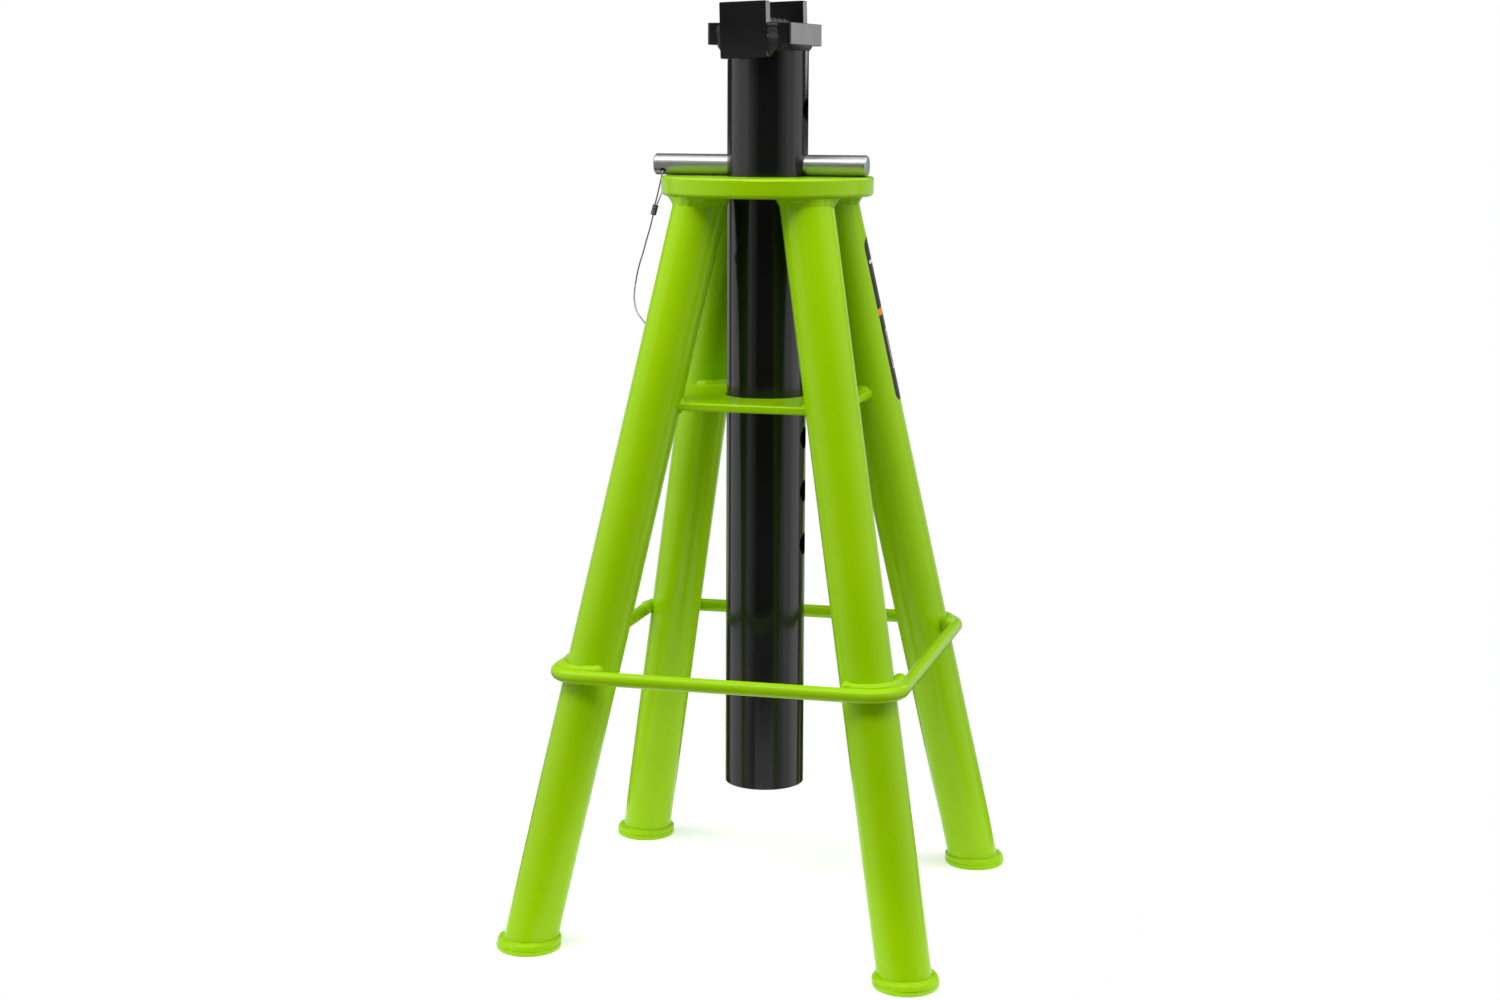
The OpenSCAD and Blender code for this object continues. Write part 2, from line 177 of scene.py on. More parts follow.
class Nodes:
    """A material's node tree with short calls to add and join nodes."""

    def __init__(self, name):
        self.material = bpy.data.materials.new(name)
        self.material.use_nodes = True
        self.tree = self.material.node_tree
        self.shader = self.tree.nodes["Principled BSDF"]

    def add(self, kind, **settings):
        made = self.tree.nodes.new(kind)
        for key, value in settings.items():
            setattr(made, key, value)
        return made

    def join(self, source, target):
        self.tree.links.new(source, target)

    def set(self, **values):
        for key, value in values.items():
            self.shader.inputs[key.replace("_", " ")].default_value = value

    def place(self):
        return self.add("ShaderNodeTexCoord").outputs["Object"]

    def noise(self, scale, detail=3, rough=0.5, stretch=None):
        made = self.add("ShaderNodeTexNoise")
        made.inputs["Scale"].default_value = scale
        made.inputs["Detail"].default_value = detail
        made.inputs["Roughness"].default_value = rough
        source = self.place()
        if stretch:
            mapping = self.add("ShaderNodeMapping")
            mapping.inputs["Scale"].default_value = stretch
            self.join(source, mapping.inputs["Vector"])
            source = mapping.outputs["Vector"]
        self.join(source, made.inputs["Vector"])
        return made.outputs["Fac"]

    def ramp(self, source, stops):
        made = self.add("ShaderNodeValToRGB")
        while len(made.color_ramp.elements) < len(stops):
            made.color_ramp.elements.new(0.5)
        for element, (at, colour) in zip(made.color_ramp.elements, stops):
            element.position = at
            element.color = (*colour, 1)
        self.join(source, made.inputs["Fac"])
        return made.outputs["Color"]

    def range(self, source, low, high):
        made = self.add("ShaderNodeMapRange")
        made.inputs["From Min"].default_value = NOISE_LOW
        made.inputs["From Max"].default_value = NOISE_HIGH
        made.inputs["To Min"].default_value = low
        made.inputs["To Max"].default_value = high
        self.join(source, made.inputs["Value"])
        return made.outputs["Result"]

    def bump(self, source, strength, distance, below=None):
        made = self.add("ShaderNodeBump")
        made.inputs["Strength"].default_value = strength
        made.inputs["Distance"].default_value = distance
        self.join(source, made.inputs["Height"])
        if below:
            self.join(below, made.inputs["Normal"])
        return made.outputs["Normal"]

    def mix(self, fac, one, two):
        made = self.add("ShaderNodeMix", data_type="RGBA", blend_type="MIX")
        for socket, value in ((0, fac), (6, one), (7, two)):
            if isinstance(value, bpy.types.NodeSocket):
                self.join(value, made.inputs[socket])
            elif socket == 0:
                made.inputs[0].default_value = value
            else:
                made.inputs[socket].default_value = (*value, 1)
        return made.outputs[2]


def green_paint():
    """Yellow-green powder coat: faint orange peel, slight cloud in colour and gloss."""
    n = Nodes("green_powder_coat")
    cloud = n.noise(9, 4)
    colour = n.ramp(cloud, [(0.3, (0.305, 0.59, 0.0)), (0.7, (0.34, 0.63, 0.0005))])
    n.join(colour, n.shader.inputs["Base Color"])
    n.join(n.range(n.noise(60, 3), 0.16, 0.24), n.shader.inputs["Roughness"])
    peel = n.bump(n.noise(420, 2), 0.10, 0.0004)
    n.join(n.bump(n.noise(38, 2), 0.08, 0.0009, below=peel), n.shader.inputs["Normal"])
    n.set(IOR=1.27, Metallic=0.0)
    return n.material


def black_paint(name="black_gloss_paint", dull=0.0):
    """Glossy black paint on the ram and its head; duller over the rough weld beads."""
    n = Nodes(name)
    colour = n.ramp(n.noise(14, 4), [(0.3, (0.0035, 0.0035, 0.004)), (0.7, (0.006, 0.006, 0.0065))])
    n.join(colour, n.shader.inputs["Base Color"])
    n.join(n.range(n.noise(25, 4), 0.12 + dull, 0.2 + dull), n.shader.inputs["Roughness"])
    peel = n.bump(n.noise(350, 2), 0.06, 0.0003)
    n.join(n.bump(n.noise(20, 2), 0.05, 0.0008, below=peel), n.shader.inputs["Normal"])
    n.set(IOR=1.5)
    return n.material


def bright_steel():
    """Bright drawn pin with faint lengthwise and turned lines."""
    n = Nodes("bright_drawn_steel")
    lines = n.noise(60, 5, 0.65, stretch=(1, 30, 30))
    rings = n.noise(900, 2, 0.5, stretch=(1, 0.02, 0.02))
    colour = n.ramp(lines, [(0.25, (0.36, 0.37, 0.37)), (0.75, (0.46, 0.47, 0.47))])
    n.join(colour, n.shader.inputs["Base Color"])
    n.join(n.range(lines, 0.26, 0.36), n.shader.inputs["Roughness"])
    n.join(n.bump(lines, 0.08, 0.0002, below=n.bump(rings, 0.04, 0.0001)), n.shader.inputs["Normal"])
    n.set(Metallic=0.85)
    return n.material


def zinc_steel():
    """Zinc plated steel of the anchor screw and its washer."""
    n = Nodes("zinc_plated_steel")
    grain = n.noise(500, 4, 0.6)
    colour = n.ramp(grain, [(0.3, (0.52, 0.53, 0.55)), (0.7, (0.72, 0.73, 0.74))])
    n.join(colour, n.shader.inputs["Base Color"])
    n.join(n.range(grain, 0.22, 0.38), n.shader.inputs["Roughness"])
    n.join(n.bump(grain, 0.12, 0.0001), n.shader.inputs["Normal"])
    n.set(Metallic=1.0)
    return n.material


def wire_steel():
    """Grey steel of the tether's wire rope."""
    n = Nodes("wire_rope_steel")
    grain = n.noise(1200, 3, 0.6)
    colour = n.ramp(grain, [(0.3, (0.20, 0.20, 0.19)), (0.7, (0.40, 0.40, 0.38))])
    n.join(colour, n.shader.inputs["Base Color"])
    n.join(n.range(grain, 0.28, 0.45), n.shader.inputs["Roughness"])
    n.join(n.bump(grain, 0.15, 0.00005), n.shader.inputs["Normal"])
    n.set(Metallic=1.0)
    return n.material


def ferrule_metal():
    """Dull dark metal of the crimped sleeves."""
    n = Nodes("crimped_sleeve_metal")
    grain = n.noise(700, 4, 0.65)
    colour = n.ramp(grain, [(0.3, (0.075, 0.075, 0.065)), (0.7, (0.17, 0.17, 0.15))])
    n.join(colour, n.shader.inputs["Base Color"])
    n.join(n.range(grain, 0.4, 0.6), n.shader.inputs["Roughness"])
    n.join(n.bump(grain, 0.2, 0.00008), n.shader.inputs["Normal"])
    n.set(Metallic=1.0)
    return n.material


def label_film():
    """Satin black film with plain blocks in place of print: pale marks, an orange band, grey lines."""
    n = Nodes("label_film")
    uv = n.add("ShaderNodeUVMap", uv_map="film").outputs["UV"]
    split = n.add("ShaderNodeSeparateXYZ")
    n.join(uv, split.inputs["Vector"])

    def within(axis, low, high):
        parts = []
        for edge, kind in ((low, "GREATER_THAN"), (high, "LESS_THAN")):
            step = n.add("ShaderNodeMath", operation=kind)
            n.join(split.outputs[axis], step.inputs[0])
            step.inputs[1].default_value = edge
            parts.append(step.outputs[0])
        both = n.add("ShaderNodeMath", operation="MULTIPLY")
        n.join(parts[0], both.inputs[0])
        n.join(parts[1], both.inputs[1])
        return both.outputs[0]

    def block(x0, x1, y0, y1):
        both = n.add("ShaderNodeMath", operation="MULTIPLY")
        n.join(within("X", x0, x1), both.inputs[0])
        n.join(within("Y", y0, y1), both.inputs[1])
        return both.outputs[0]

    colour = n.mix(n.range(n.noise(300, 3), 0.0, 1.0), (0.006, 0.006, 0.007), (0.012, 0.012, 0.013))
    colour = n.mix(block(0.0, 1.0, 0.535, 0.575), colour, (0.85, 0.24, 0.01))
    for x0, x1, y0, y1 in ((0.05, 0.3, 0.845, 0.865), (0.36, 0.9, 0.84, 0.87), (0.12, 0.88, 0.20, 0.44)):
        colour = n.mix(block(x0, x1, y0, y1), colour, (0.75, 0.75, 0.74))
    colour = n.mix(block(0.14, 0.86, 0.212, 0.428), colour, (0.012, 0.012, 0.013))
    for row in range(5):
        low = 0.235 + row * 0.038
        colour = n.mix(block(0.2, 0.8 - 0.1 * (row % 2), low, low + 0.012), colour, (0.3, 0.3, 0.3))
    n.join(colour, n.shader.inputs["Base Color"])
    n.join(n.range(n.noise(200, 3), 0.3, 0.42), n.shader.inputs["Roughness"])
    n.join(n.bump(n.noise(500, 2), 0.05, 0.0002), n.shader.inputs["Normal"])
    n.set(IOR=1.4)
    return n.material


GREEN = green_paint()
BLACK = black_paint()
BLACK_WELD = black_paint("black_weld_paint", WELD_DULL)
BRIGHT = bright_steel()
ZINC = zinc_steel()
WIRE = wire_steel()
SLEEVE = ferrule_metal()
FILM = label_film()
SLOTS = {
    "green_paint": GREEN, "black_paint": BLACK, "bright_steel": BRIGHT, "zinc_steel": ZINC,
    "wire_steel": WIRE, "ferrule_metal": SLEEVE, "label_film": FILM,
}

# ---------------------------------------------------------------- mesh helpers


def piece(name, verts, faces, material, body, slot, replaces=()):
    """A mesh piece that rides on a body and stands for some CAD nodes."""
    mesh = bpy.data.meshes.new(name)
    mesh.from_pydata([tuple(v) for v in verts], [], faces)
    tidy = bmesh.new()
    tidy.from_mesh(mesh)
    bmesh.ops.recalc_face_normals(tidy, faces=tidy.faces)
    tidy.to_mesh(mesh)
    tidy.free()
    for polygon in mesh.polygons:
        polygon.use_smooth = True
    mesh.materials.append(material)
    made = bpy.data.objects.new(name, mesh)
    bpy.context.scene.collection.objects.link(made)
    if body:
        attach(made, body)
    if replaces:
        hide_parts(*replaces)
    return made


def loft(rings, closed_path=False):
    """Points and faces of a skin over rings of equal size."""
    size = len(rings[0])
    verts = [p for ring in rings for p in ring]
    faces = []
    count = len(rings)
    for i in range(count if closed_path else count - 1):
        low = i * size
        high = ((i + 1) % count) * size
        for k in range(size):
            k2 = (k + 1) % size
            faces.append((low + k, low + k2, high + k2, high + k))
    if not closed_path:
        faces.append(tuple(range(size)))
        faces.append(tuple((count - 1) * size + k for k in reversed(range(size))))
    return verts, faces


def catmull(route, steps):
    """Smooth curve through a route, the same as the CAD's."""
    last = len(route) - 1
    line = []
    for i in range(last):
        a, b = route[max(i - 1, 0)], route[i]
        c, d = route[i + 1], route[min(i + 2, last)]
        for j in range(steps):
            t = j / steps
            line.append(0.5 * (2 * b + (c - a) * t + (2 * a - 5 * b + 4 * c - d) * t * t
                               + (3 * b - a - 3 * c + d) * t ** 3))
    line.append(route[last].copy())
    return line


def along_line(line, step):
    """The line again with points a fixed step apart."""
    out = [line[0].copy()]
    left = step
    for a, b in zip(line, line[1:]):
        span = (b - a).length
        at = left
        while at <= span:
            out.append(a.lerp(b, at / span))
            at += step
        left = at - span
    if (out[-1] - line[-1]).length > step * 0.3:
        out.append(line[-1].copy())
    else:
        out[-1] = line[-1].copy()
    return out


def frames_along(line, across):
    """Unturning (tangent, u, v) frames along a line."""
    out = []
    u = None
    for i, p in enumerate(line):
        t = (line[min(i + 1, len(line) - 1)] - line[max(i - 1, 0)]).normalized()
        if u is None:
            u = across.cross(t).normalized()
        else:
            u = (u - u.dot(t) * t).normalized()
        out.append((t, u, t.cross(u)))
    return out


STRANDS = 6
ROPE_SIDES = 30
ROPE_STEP = 0.45 * MM
ROPE_LAY = 9 * MM
ROPE_VALLEY = 0.82


def rope(name, route, across, body, node, start_turn=0.0):
    """Wire rope: a mesh tube with six twisted strands along a smooth route."""
    line = along_line(catmull([Vector(p) * MM for p in route], 24), ROPE_STEP)
    rings = []
    far = 0.0
    for i, (p, (_, u, v)) in enumerate(zip(line, frames_along(line, across))):
        if i:
            far += (p - line[i - 1]).length
        twist = start_turn + 2 * math.pi * far / ROPE_LAY
        ring = []
        for k in range(ROPE_SIDES):
            a = 2 * math.pi * k / ROPE_SIDES
            lobe = abs(math.cos(STRANDS / 2 * (a - twist)))
            r = WIRE_D / 2 * (ROPE_VALLEY + (1 - ROPE_VALLEY) * lobe ** 0.7)
            ring.append(p + r * (math.cos(a) * u + math.sin(a) * v))
        rings.append(ring)
    verts, faces = loft(rings)
    made = piece(name, verts, faces, WIRE, body, "wire_steel", [node])
    return made, line


# ---------------------------------------------------------------- tether
ANCHOR_LOOP_ROUTE = [(26.9, -0.95, -12), (26.4, -1.8, -8), (26.1, -3, -4), (26, -3.6, 0),
                     (26, -2.5, 2.6), (26, 0, 3.6), (26, 2.5, 2.6), (26, 3.6, 0), (26.1, 3, -4),
                     (26.4, 1.8, -8), (26.9, 0.95, -12)]
PIN_LOOP_ROUTE = [(-108.6, -7.7, 685.5), (-106.2, -7.4, 694.5), (-103.9, -7.6, 703.4),
                  (-101.9, -8.4, 711), (-100.7, -8.9, 715.6), (-100.5, -4.6, 720.2),
                  (-100.5, 0, 723.3), (-100.5, 4.6, 726.4), (-100.2, 9.2, 729.6),
                  (-100, 12.3, 727.8), (-100.2, 12.8, 721.3), (-101.3, 10.6, 713.6),
                  (-102.9, 5.6, 704.2), (-104.8, -1.4, 693.8), (-106.8, -7.3, 685.5)]
UPPER_ROUTE = [(-109.7, -10, 675.5), (-112.3, -11.8, 663.3), (-115.5, -13.5, 651.3),
               (-118.2, -14.9, 640.2), (-121.3, -16.8, 629.1), (-123.5, -18.6, 618),
               (-124.5, -20.4, 609.2)]
LOWER_ROUTE = [(-124.5, -20.6, 608.7), (-124.5, -23.5, 601), (-123, -27, 592.5),
               (-119.5, -30.5, 584.5), (-113, -34, 577.5), (-104, -36, 569.5), (-94, -37, 563),
               (-84, -37.5, 560.5), (-75.5, -38, 564), (-70.5, -38.5, 573), (-68, -39, 585),
               (-66.5, -38.8, 599), (-64.3, -37.2, 613.8)]
FERRULE_W = 5.5 * MM
FERRULE_T = 3.5 * MM
FERRULE_L = 10 * MM
PIN_FERRULE_LOW = Vector((-109.7, -10, 675.5)) * MM
PIN_FERRULE_HIGH = Vector((-107.7, -7.5, 685.5)) * MM
PIN_FERRULE_TURN = math.radians(-36)
CRIMPS = (0.25, 0.5, 0.75)
CRIMP_WIDTH = 0.09
CRIMP_DEPTH = 0.16


def ferrule(name, matrix, body, node):
    """Oval crimp sleeve with chamfered ends and three pressed grooves."""
    rings = []
    steps = 60
    for i in range(steps + 1):
        t = i / steps
        end = min(t, 1 - t) * FERRULE_L
        trim = 0.5 * MM * max(0.0, 1 - end / (0.5 * MM)) ** 1.5
        press = sum(math.exp(-(((t - c) / (CRIMP_WIDTH / 2)) ** 2)) for c in CRIMPS)
        w = FERRULE_W / 2 - trim
        d = FERRULE_T / 2 * (1 - CRIMP_DEPTH * press) - trim
        ring = []
        for k in range(48):
            a = 2 * math.pi * k / 48
            c, s = math.cos(a), math.sin(a)
            ring.append(Vector((w * math.copysign(abs(c) ** 0.8, c),
                                d * math.copysign(abs(s) ** 0.8, s), t * FERRULE_L)))
        rings.append(ring)
    verts, faces = loft(rings)
    return piece(name, [matrix @ v for v in verts], faces, SLEEVE, body, "ferrule_metal", [node])


def make_tether():
    """The wire tether: a loop in the pin, a sleeve, a hanging wire, a sleeve and an eye."""
    way = PIN_FERRULE_HIGH - PIN_FERRULE_LOW
    pin_sleeve_axes = (
        Matrix.Translation(PIN_FERRULE_LOW)
        @ Matrix.Rotation(math.atan2(way.y, way.x), 4, "Z")
        @ Matrix.Rotation(math.acos(way.z / way.length), 4, "Y")
        @ Matrix.Rotation(PIN_FERRULE_TURN, 4, "Z")
    )
    anchor_sleeve_axes = (
        ANCHOR
        @ Matrix.Translation((LEG_R + 2 * MM, 0, -12 * MM - FERRULE_L))
        @ Matrix.Rotation(math.pi / 2, 4, "Z")
    )
    pin_sleeve = ferrule("tether_pin_sleeve", pin_sleeve_axes, "pin", "tether_pin_ferrule")
    anchor_sleeve = ferrule(
        "tether_anchor_sleeve", anchor_sleeve_axes, "frame", "tether_anchor_ferrule")
    loop, loop_line = rope("tether_pin_rope_loop", PIN_LOOP_ROUTE, Vector((1, 0, 0)), "pin",
                           "tether_pin_loop")
    eye_route = [tuple(v / MM for v in ANCHOR @ (Vector(p) * MM)) for p in ANCHOR_LOOP_ROUTE]
    eye, _ = rope("tether_anchor_eye", eye_route, ANCHOR.to_3x3() @ Vector((1, 0, 0)), "frame",
                  "tether_anchor_loop")
    across = Vector((0.4, -1, 0))
    upper, upper_line = rope("tether_rope_upper", UPPER_ROUTE, across, None, "tether_wire_upper")
    lower, lower_line = rope("tether_rope_lower", LOWER_ROUTE, across, None, "tether_wire_lower",
                             0.7)
    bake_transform(upper)
    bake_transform(lower)


make_tether()

# ---------------------------------------------------------------- CAD nodes keep their shape
for node, made in frame["nodes"].items():
    entry = next(s for s in frame["record"]["subparts"] if s["node"] == node)
    for index in range(len(made.material_slots)):
        made.material_slots[index].material = SLOTS[entry["material_slot"]]

# ---------------------------------------------------------------- welds
WELD_POINTS = 13
WELD_SINK = 0.6 * MM
LUMPS_COARSE = 110
LUMPS_FINE = 300
RIPPLE_SLANT = 0.45


def lump(place, scale, seed):
    """Smooth noise from -1 to 1 at a place on the object."""
    return noise.noise(place * scale + Vector((seed, 2.3 * seed, 0)))


def weld_skin(stations, closed, pitch, height, rough, seed, taper=0.0):
    """Points and faces of a weld bead; a station is (root, A, B, a, b, bulge).

    A and B point away from the root along the two joined faces, a and b are the bead's
    legs on them, and bulge is how far its middle stands out, or in if it is negative.
    """
    total = 0.0
    at = [0.0]
    for one, two in zip(stations, stations[1:]):
        total += (two[0] - one[0]).length
        at.append(total)
    if closed:
        total += (stations[0][0] - stations[-1][0]).length
    pitch = total / max(1, round(total / pitch))
    rings = []
    for (root, u, v, a, b, bulge), s in zip(stations, at):
        size = 1 + rough * lump(root, LUMPS_COARSE, seed) + 0.5 * rough * lump(root, LUMPS_FINE, seed)
        if taper:
            end = min(1.0, min(s, total - s) / taper)
            size *= math.sqrt(1 - (1 - end) ** 2) * 0.95 + 0.05
        a, b, bulge = a * size, b * size, bulge * size
        out = (u * b + v * a).normalized()
        ring = [root - (u + v) * WELD_SINK, root + u * a - v * WELD_SINK]
        for k in range(WELD_POINTS):
            t = k / (WELD_POINTS - 1)
            arch = math.sin(math.pi * t)
            wave = 0.5 + 0.5 * math.cos(2 * math.pi * (s / pitch - RIPPLE_SLANT * arch))
            stand = arch * bulge + arch ** 0.6 * height * min(1.0, size) * wave
            ring.append(root + u * (a * (1 - t)) + v * (b * t) + out * stand)
        ring.append(root + v * b - u * WELD_SINK)
        rings.append(ring)
    return loft(rings, closed_path=closed)


def merged(parts):
    """Points and faces of several skins as one."""
    verts, faces = [], []
    for more, around in parts:
        base = len(verts)
        verts += more
        faces += [tuple(base + i for i in face) for face in around]
    return verts, faces


def leg_ring(corner, z, angle):
    """Point where a leg's outer face meets a level, the way out of the leg and up along it."""
    axes = leg_axes(corner)
    turn = axes.to_3x3()
    side = Vector((math.cos(angle) * LEG_R, math.sin(angle) * LEG_R, 0))
    up = turn @ Vector((0, 0, 1))
    low = axes @ side
    point = low + up * ((z - low.z) / up.z)
    normal = turn @ side.normalized()
    level = Vector((normal.x, normal.y, 0)).normalized()
    return point, level, up


def reach_inside(point, way, limit, middle=Vector((0, 0, 0))):
    """How far one can go level from a point before leaving a circle round the middle."""
    start = Vector((point.x - middle.x, point.y - middle.y))
    step = Vector((way.x, way.y))
    along_way = start.dot(step)
    return -along_way + math.sqrt(max(0.0, along_way ** 2 + limit ** 2 - start.length_squared))


def reach_to_ram(point, way, limit):
    """How far one can go level from a point before coming too near the ram."""
    start = Vector((point.x, point.y))
    step = Vector((way.x, way.y))
    along_way = start.dot(step)
    if along_way > 0:
        return 1.0
    gap = along_way ** 2 - (start.length_squared - limit ** 2)
    return -along_way - math.sqrt(gap) if gap > 0 else 1.0


LEG_TOP_A = 8.6 * MM
LEG_TOP_INNER = 2.2 * MM
LEG_TOP_B = 10 * MM
LEG_TOP_HOLLOW = -0.9 * MM
PLATE_EDGE_REACH = PLATE_R - 2.2 * MM
RAM_AIR = 41 * MM
WELD_RIPPLE = 3.4 * MM


def leg_top_beads():
    """Hollow fillets between each leg and the underside of the top plate."""
    parts = []
    for seed, corner in enumerate(CORNERS.values()):
        stations = []
        for k in range(200):
            angle = 2 * math.pi * k / 200
            root, out, up = leg_ring(corner, PLATE_UNDER, angle)
            width = LEG_TOP_INNER + (LEG_TOP_A - LEG_TOP_INNER) * (1 + math.cos(angle)) / 2
            a = min(width, reach_inside(root, out, PLATE_EDGE_REACH),
                    reach_to_ram(root, out, RAM_AIR))
            a = max(a, 1.2 * MM)
            b = LEG_TOP_B * (0.55 + 0.45 * a / LEG_TOP_A)
            stations.append((root, out, -up, a, b, LEG_TOP_HOLLOW * a / LEG_TOP_A))
        parts.append(weld_skin(stations, True, WELD_RIPPLE, 0.14 * MM, 0.3, 3 + seed))
    return merged(parts)


FOOT_A = 6.2 * MM
FOOT_B = 5.4 * MM
FOOT_EDGE = FOOT_R - 0.4 * MM


def foot_beads():
    """Fillets round each leg on its foot pad."""
    parts = []
    for seed, corner in enumerate(CORNERS.values()):
        direction = math.radians(corner)
        reach = FOOT_REACH * math.sqrt(2)
        middle = Vector((math.cos(direction) * reach, math.sin(direction) * reach, 0))
        stations = []
        for k in range(180):
            root, out, up = leg_ring(corner, FOOT_TOP, 2 * math.pi * k / 180)
            a = max(1.6 * MM, min(FOOT_A, reach_inside(root, out, FOOT_EDGE, middle)))
            stations.append((root, out, up, a, FOOT_B, 1.5 * MM))
        parts.append(weld_skin(stations, True, WELD_RIPPLE, 0.35 * MM, 0.22, 13 + seed))
    return merged(parts)


GUIDE_BEAD = 4.2 * MM
GUIDE_EDGE = GUIDE_HALF - 2.2 * MM


def guide_beads():
    """Open beads above and below the guide plate, where each leg passes its corner."""
    parts = []
    for seed, corner in enumerate(CORNERS.values()):
        for z, way in ((GUIDE_TOP, 1), (GUIDE_UNDER, -1)):
            stations = []
            for k in range(-120, 121):
                root, out, up = leg_ring(corner, z, math.pi + math.radians(k))
                if max(abs(root.x), abs(root.y)) < GUIDE_EDGE:
                    stations.append((root, out, up * way, GUIDE_BEAD, GUIDE_BEAD, -0.2 * MM))
            parts.append(weld_skin(stations, False, WELD_RIPPLE, 0.25 * MM, 0.2,
                                   23 + 2 * seed + way, taper=6 * MM))
    return merged(parts)


RING_BEND = 30 * MM
RING_DROP = 1.2 * MM
RING_TILT_X = 0.85 / 163.5
RING_TILT_Y = 0.95 / 163.5
BEAD_R = 5.2 * MM
KNOB_R = 1.5 * MM
BEAD_IN = 5.6 * MM
BEAD_RISE = 4.8 * MM
BEAD_REACH = 22 * MM
BEAD_LUMP = 1.2 * MM
BEAD_LUMPS = 75
BEAD_RIPPLE = 0.12 * MM
BEAD_PITCH = 5.5 * MM
BEAD_END = 5 * MM
KNOB_WIDTH = 4 * MM


def tilted(point):
    """A point of the ring where it was welded on: slightly low at the front left."""
    return point + Vector((0, 0, RING_TILT_X * point.x + RING_TILT_Y * point.y - RING_DROP))


def make_ring():
    """The brace ring of the CAD, with the tilt that it was welded on with."""
    source = frame["nodes"]["lower_ring"]
    place = source.matrix_world
    verts = [tilted(place @ v.co) for v in source.data.vertices]
    faces = [tuple(polygon.vertices) for polygon in source.data.polygons]
    made = piece("lower_ring_as_welded", verts, faces, GREEN, "frame", "green_paint",
                 ["lower_ring"])
    made.data.set_sharp_from_angle(angle=math.radians(30))


def ring_path(far):
    """Place and outward way on the ring's centre line, from the middle of a corner's bend."""
    bend = RING_BEND * math.pi / 4
    sign = 1 if far >= 0 else -1
    rest = abs(far)
    straight = RING_HALF - RING_BEND
    if rest <= bend:
        angle = math.pi / 4 + sign * rest / RING_BEND
        way = Vector((math.cos(angle), math.sin(angle), 0))
        return Vector((straight, straight, 0)) + way * RING_BEND, way
    rest -= bend
    if sign > 0:
        return Vector((straight - rest, RING_HALF, 0)), Vector((0, 1, 0))
    return Vector((RING_HALF, straight - rest, 0)), Vector((1, 0, 0))


def ring_beads():
    """A lumpy bead on top of the ring round the outside of each leg, with a knob at its ends."""
    parts = []
    reach = RING_BEND * math.pi / 4 + BEAD_REACH
    for seed, corner in enumerate(CORNERS.values()):
        turn = Matrix.Rotation(math.radians(corner - 45), 3, "Z")
        rings = []
        steps = 170
        for i in range(steps + 1):
            far = (2 * i / steps - 1) * reach
            place, way = ring_path(far)
            end = reach - abs(far)
            middle = place - way * BEAD_IN + Vector((0, 0, RING_Z + BEAD_RISE))
            knob = KNOB_R * math.exp(-(((end - BEAD_END) / KNOB_WIDTH) ** 2))
            r = BEAD_R + knob + BEAD_LUMP * lump(turn @ middle, BEAD_LUMPS, 31 + seed)
            r += BEAD_RIPPLE * math.cos(2 * math.pi * far / BEAD_PITCH)
            r *= math.sqrt(max(0.0, 1 - max(0.0, 1 - end / BEAD_END) ** 2)) * 0.97 + 0.03
            ring = []
            for k in range(20):
                a = 2 * math.pi * k / 20
                spot = middle + r * (way * math.cos(a) + Vector((0, 0, math.sin(a))))
                ring.append(tilted(turn @ spot))
            rings.append(ring)
        parts.append(loft(rings))
    return merged(parts)


EAR_BEAD_A = 7.2 * MM
EAR_BEAD_B = 7.6 * MM
NECK_A = 3.2 * MM
NECK_B = 5 * MM
FOOT_BEAD_A = 5 * MM
FOOT_BEAD_B = 6 * MM
# Where the beads on the block's top start and end: front ear, then rear ear
FOOT_BEAD_SPANS = ((-20 * MM, 18 * MM), (-21 * MM, 8 * MM))


def ear_side_bead(rear, side, seed):
    """Fillet between an ear's side and the block's face; it runs out to a tip below the block."""
    axes = ear_axes(rear)
    turn = axes.to_3x3()
    rise = REAR_EAR_RISE * rear
    low = -EAR_H / 2 + 1.5 * MM
    under = BLOCK_UNDER - EAR_MIDDLE - rise
    high = BLOCK_TOP - EAR_MIDDLE - rise - 0.5 * MM
    out = turn @ Vector((side, 0, 0))
    away = turn @ Vector((0, 0, 1))
    stations = []
    steps = 90
    for i in range(steps + 1):
        h = low + (high - low) * i / steps
        full = 1.0 if h > under else (h - low) / (under - low)
        root = axes @ Vector((side * EAR_HALF, h, 0))
        a = EAR_BEAD_A * full ** 0.8
        b = EAR_BEAD_B * (0.35 + 0.65 * full)
        stations.append((root, out, away, a, b, 0.2 * MM * full))
    return weld_skin(stations, False, 4.4 * MM, 0.3 * MM, 0.26, seed, taper=3.5 * MM)


def neck_bead():
    """Rough bead between the ram's tube and the underside of the block."""
    inverse = HEAD.inverted()
    stations = []
    for k in range(220):
        angle = 2 * math.pi * k / 220
        way = Vector((math.cos(angle), math.sin(angle), 0))
        root = way * RAM_R + Vector((0, 0, BLOCK_UNDER))
        spot = inverse @ root
        ahead = inverse.to_3x3() @ way
        room = min((BLOCK_HALF - abs(spot[i])) / max(abs(ahead[i]), 0.05) for i in (0, 1))
        a = max(0.3 * MM, min(NECK_A, room - 0.4 * MM))
        stations.append((root, way, Vector((0, 0, -1)), a, NECK_B, 0.3 * MM))
    return weld_skin(stations, True, 3.6 * MM, 0.5 * MM, 0.28, 47)


